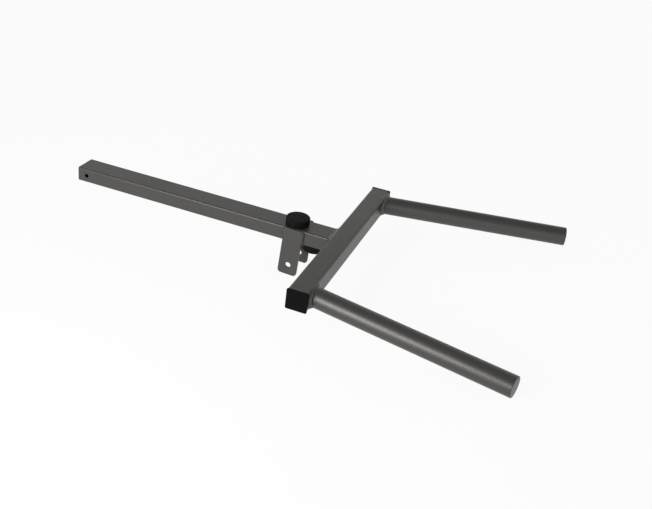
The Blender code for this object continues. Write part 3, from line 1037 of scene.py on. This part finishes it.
class LEVERARM_OT_welds(bpy.types.Operator):
    """Lay the rippled welds at the arm's end, the hand bars' roots and the ears"""

    bl_idname = "leverarm.welds"
    bl_label = "Welds"

    def execute(self, context):
        sizes, welds = context.scene.lever_arm_sizes, context.scene.lever_arm_welds
        self.weld_arm(sizes, welds)
        for name, side in SIDES:
            self.weld_grip(name, side, sizes, welds)
            self.weld_ear(name, side, sizes, welds)
        return {"FINISHED"}

    def weld_arm(self, sizes, welds):
        """Round the arm's end, where it meets the crossbar's rear face."""
        outline = rounded_box(ARM_WIDTH, ARM_HEIGHT, sizes.arm_corner, 6)
        spacing = 1 * MM
        dense = []
        for index, start in enumerate(outline):
            end = outline[(index + 1) % len(outline)]
            steps = max(1, round((end - start).length / spacing))
            dense += [start.lerp(end, step / steps) for step in range(steps)]
        upward = Vector((-1, 0, 0))
        seam = []
        for index, point in enumerate(dense):
            ahead = dense[(index + 1) % len(dense)] - dense[index - 1]
            outward = Vector((0, ahead.y, -ahead.x)).normalized()
            place = Vector((BAR_REAR, point.x, BAR_MIDDLE.z + point.y))
            leg = welds.arm_leg + (welds.arm_leg_thin - welds.arm_leg) * outward.z ** 2
            sink = corner_drop(point.y + outward.z * leg) + BEAD_SINK
            seam.append((place, outward, upward, leg, welds.arm_leg, sink, welds.hollow))
        lay_bead("weld_arm_to_crossbar", seam, True)

    def weld_grip(self, name, side, sizes, welds):
        """Round a hand bar's root, no wider than the crossbar's face and taller below."""
        root, along = grip_root(side), grip_direction(side)
        radius = sizes.grip_diameter / 2
        steps, least_rise = 120, 0.01
        seam = []
        for index in range(steps):
            angle = math.tau * index / steps
            rise = math.sin(angle)
            place = root + Vector((0, math.cos(angle) * radius / along.x, rise * radius))
            outward = Vector((0, math.cos(angle) * along.x, rise)).normalized()
            room = BAR_SIZE / 2 / max(abs(rise), least_rise) - radius
            leg = min(welds.grip_leg, room)
            toe = (place - root + outward * leg).z
            sink = corner_drop(toe) + BEAD_SINK
            below = max(0.0, -rise) ** 2
            tall = welds.grip_leg + (welds.grip_run - welds.grip_leg) * below
            flatness = welds.flatness + (welds.hollow - welds.flatness) * below
            seam.append((place, outward, along / along.x, leg, tall, sink, flatness))
        lay_bead(f"weld_grip_{name}", seam, True)

    def weld_ear(self, name, side, sizes, welds):
        """Up both edges of an ear on the arm's side, thinner towards the seams' ends."""
        node = f"pivot_ear_{name}"
        centre = middle(node)
        lean = sizes.ear_lean
        down = Vector((-math.sin(lean), 0, -math.cos(lean)))
        across = Vector((math.cos(lean), 0, -math.sin(lean)))
        upward = Vector((0, side, 0))
        upper_margin, lower_margin = 2 * MM, 1.5 * MM
        end_share, taper_length = 0.45, 3 * MM
        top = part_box(node)[1].z - upper_margin
        bottom = BAR_MIDDLE.z - ARM_HEIGHT / 2 + lower_margin
        steps = 40
        for place_name, edge in (("rear", -1), ("front", 1)):
            line = Vector((centre.x, side * ARM_WIDTH / 2, centre.z))
            line += across * edge * sizes.ear_width / 2
            seam = []
            for step in range(steps + 1):
                height = top + (bottom - top) * step / steps
                place = line + down * ((line.z - height) / math.cos(lean))
                from_end = min(step, steps - step) / steps * (top - bottom)
                leg = welds.ear_leg * min(1.0, end_share + from_end / taper_length)
                seam.append((place, across * edge, upward, leg, leg, BEAD_SINK, welds.flatness))
            lay_bead(f"weld_ear_{name}_{place_name}", seam, False)


class LEVERARM_OT_stage(bpy.types.Operator):
    """Set up the floor, the light and the photograph's camera"""

    bl_idname = "leverarm.stage"
    bl_label = "Stage"

    def execute(self, context):
        scene = context.scene
        stage = scene.lever_arm_stage
        scene.view_settings.view_transform = "Standard"
        self.build_floor(stage)
        self.build_world(scene, stage)
        self.build_lamp(scene, stage)
        self.build_camera(scene, stage)
        return {"FINISHED"}

    def resting_floor(self):
        """The floor's slope under the ears' feet and the hand bars' tips, and a foot's place."""
        feet = [vertex.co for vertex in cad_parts["pivot_ear_right"].data.vertices]
        tips = [vertex.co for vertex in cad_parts["grip_disc_right"].data.vertices]
        slope, rounds = 0.0, 4
        for _ in range(rounds):
            upward = Vector((-math.sin(slope), 0, math.cos(slope)))
            foot = min(feet, key=upward.dot)
            tip = min(tips, key=upward.dot)
            slope = math.atan2(tip.z - foot.z, tip.x - foot.x)
        return slope, foot

    def build_floor(self, stage):
        """A plain pale floor that takes the shadow, and is nearly white to the camera."""
        slope, foot = self.resting_floor()
        half, clearance = 6.0, 0.3 * MM
        mesh = bpy.data.meshes.new("Floor")
        corners = [(-half, -half, 0), (half, -half, 0), (half, half, 0), (-half, half, 0)]
        mesh.from_pydata(corners, [], [(0, 1, 2, 3)])
        mesh.transform(
            Matrix.Translation((foot.x, 0, foot.z - clearance)) @ Matrix.Rotation(-slope, 4, "Y")
        )
        floor = mesh_object("Floor", mesh)
        floor_material = bpy.data.materials.new("Pale Floor")
        floor_material.use_nodes = True
        tree = Tree(floor_material.node_tree)
        diffuse = tree.add("ShaderNodeBsdfDiffuse", {}, {"Color": (*stage.floor_colour, 1)})
        white = tree.add("ShaderNodeEmission", {}, {"Color": (1, 1, 1, 1), "Strength": 1.0})
        camera_ray = tree.add("ShaderNodeLightPath", output="Is Camera Ray")
        seen = camera_ray.math("MAXIMUM", camera_ray, tree.other(camera_ray, "Is Glossy Ray"))
        seen = seen.math("MAXIMUM", seen, tree.other(camera_ray, "Is Transmission Ray"))
        surface = tree.add(
            "ShaderNodeMixShader", {}, {0: stage.floor_glow * seen, 1: diffuse, 2: white}
        )
        tree.add("ShaderNodeOutputMaterial", {}, {"Surface": surface})
        floor.data.materials.append(floor_material)

    def build_world(self, scene, stage):
        """White surroundings at eye level, dimmer overhead."""
        world = bpy.data.worlds.new("Studio")
        world.use_nodes = True
        scene.world = world
        tree = Tree(world.node_tree)
        direction = tree.add("ShaderNodeTexCoord", output="Generated")
        height = tree.add("ShaderNodeSeparateXYZ", {}, {0: direction}, "Z")
        overhead = height.smooth(0.30, 0.80)
        strength = stage.horizon + (stage.zenith - stage.horizon) * overhead
        background = tree.add(
            "ShaderNodeBackground", {}, {"Color": (1, 1, 1, 1), "Strength": strength}
        )
        tree.add("ShaderNodeOutputWorld", {}, {"Surface": background})

    def build_lamp(self, scene, stage):
        """A softbox low at the front left, which draws the light line along the bars."""
        aim = Vector((0.15, -0.1, BAR_MIDDLE.z))
        towards = Vector((-0.47, -0.83, 0.31)).normalized()
        lamp_data = bpy.data.lights.new("Window", "AREA")
        lamp_data.energy = stage.window_power
        lamp_data.size = stage.window_size
        lamp = bpy.data.objects.new("Window", lamp_data)
        lamp.location = aim + towards * stage.window_distance
        lamp.rotation_euler = towards.to_track_quat("Z", "Y").to_euler()
        scene.collection.objects.link(lamp)

    def build_camera(self, scene, stage):
        """The photograph's camera, as it was fitted to the edges of the tubes."""
        camera_data = bpy.data.cameras.new("Photo Camera")
        camera_data.sensor_width = 36
        camera_data.lens = stage.lens
        camera_data.clip_start = 0.05
        camera_data.clip_end = 50
        camera = bpy.data.objects.new("Photo_Camera", camera_data)
        camera.location = stage.camera_place
        camera.rotation_euler = Euler(stage.camera_turn)
        scene.collection.objects.link(camera)
        scene.camera = camera


class LEVERARM_PT_panel(bpy.types.Panel):
    """Lists the building steps and their sizes"""

    bl_label = "Lever Arm"
    bl_idname = "LEVERARM_PT_panel"
    bl_space_type = "VIEW_3D"
    bl_region_type = "UI"
    bl_category = "Lever Arm"

    def draw(self, context):
        for operator in OPERATORS:
            self.layout.operator(operator.bl_idname)
        for name, group in GROUPS.items():
            box = self.layout.box()
            for field in group.__annotations__:
                box.prop(getattr(context.scene, name), field)


OPERATORS = (
    LEVERARM_OT_arm, LEVERARM_OT_crossbar, LEVERARM_OT_hand_bars, LEVERARM_OT_ears,
    LEVERARM_OT_stops, LEVERARM_OT_welds, LEVERARM_OT_stage,
)
GROUPS = {
    "lever_arm_sizes": LeverArmSizes,
    "lever_arm_welds": LeverArmWelds,
    "lever_arm_finish": LeverArmFinish,
    "lever_arm_stage": LeverArmStage,
}


def register():
    for group in GROUPS.values():
        bpy.utils.register_class(group)
    for name, group in GROUPS.items():
        setattr(bpy.types.Scene, name, PointerProperty(type=group))
    for operator in OPERATORS:
        bpy.utils.register_class(operator)
    bpy.utils.register_class(LEVERARM_PT_panel)


def unregister():
    bpy.utils.unregister_class(LEVERARM_PT_panel)
    for operator in reversed(OPERATORS):
        bpy.utils.unregister_class(operator)
    for name, group in GROUPS.items():
        delattr(bpy.types.Scene, name)
        bpy.utils.unregister_class(group)


def main():
    register()
    for operator in OPERATORS:
        section, step = operator.bl_idname.split(".")
        getattr(getattr(bpy.ops, section), step)()


if __name__ == "__main__":
    main()
